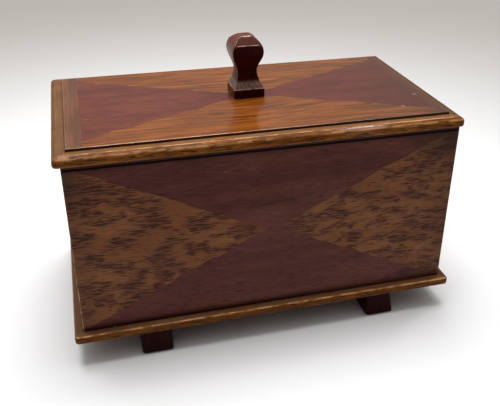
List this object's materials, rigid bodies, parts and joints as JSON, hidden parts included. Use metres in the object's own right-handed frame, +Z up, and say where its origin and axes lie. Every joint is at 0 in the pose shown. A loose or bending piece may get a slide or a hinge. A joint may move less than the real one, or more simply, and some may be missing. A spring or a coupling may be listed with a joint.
{
  "type": "decorative wooden box",
  "caption": "Rectangular wooden box with crossed veneer panels, a moulded base, block feet and a lift-off lid with a square waisted knob.",
  "frame": {"origin": "on the ground under the middle of the base", "axes": "+X along the front to the viewer's right, +Y from the front to the back, +Z up"},
  "size_m": [0.255, 0.144, 0.1842],
  "materials": {
    "dark_wood": "gloss varnish",
    "golden_wood": "gloss varnish",
    "plain_wood": "bare",
    "flecked_veneer": "satin varnish",
    "red_veneer": "satin varnish",
    "orange_veneer": "gloss varnish",
    "band_veneer": "gloss varnish",
    "screw_steel": "dull"
  },
  "bodies": {
    "box": {"foot_front_left": "dark_wood", "foot_front_right": "dark_wood", "foot_back_left": "dark_wood", "foot_back_right": "dark_wood", "foot_screws": "screw_steel", "base_board": "golden_wood", "base_screws": "screw_steel", "front_board": "plain_wood", "back_board": "plain_wood", "left_end_board": "plain_wood", "right_end_board": "plain_wood", "front_upper_veneer": "red_veneer", "front_lower_veneer": "red_veneer", "front_left_veneer": "flecked_veneer", "front_right_veneer": "flecked_veneer", "back_upper_veneer": "red_veneer", "back_lower_veneer": "red_veneer", "back_left_veneer": "flecked_veneer", "back_right_veneer": "flecked_veneer", "left_end_upper_veneer": "red_veneer", "left_end_lower_veneer": "red_veneer", "left_end_front_veneer": "flecked_veneer", "left_end_back_veneer": "flecked_veneer", "right_end_upper_veneer": "red_veneer", "right_end_lower_veneer": "red_veneer", "right_end_front_veneer": "flecked_veneer", "right_end_back_veneer": "flecked_veneer"},
    "lid": {"lid_board": "golden_wood", "lid_left_veneer": "red_veneer", "lid_right_veneer": "red_veneer", "lid_front_veneer": "orange_veneer", "lid_back_veneer": "orange_veneer", "lid_left_band": "band_veneer", "lid_right_band": "band_veneer", "lid_strip_front": "plain_wood", "lid_strip_back": "plain_wood", "lid_strip_left": "plain_wood", "lid_strip_right": "plain_wood", "knob": "dark_wood", "knob_screw": "screw_steel"}
  },
  "joints": [
    {"name": "lid_lift", "type": "slide", "parent": "box", "child": "lid", "axis": [0, 0, 1], "range_m": [0, 0.06]}
  ]
}
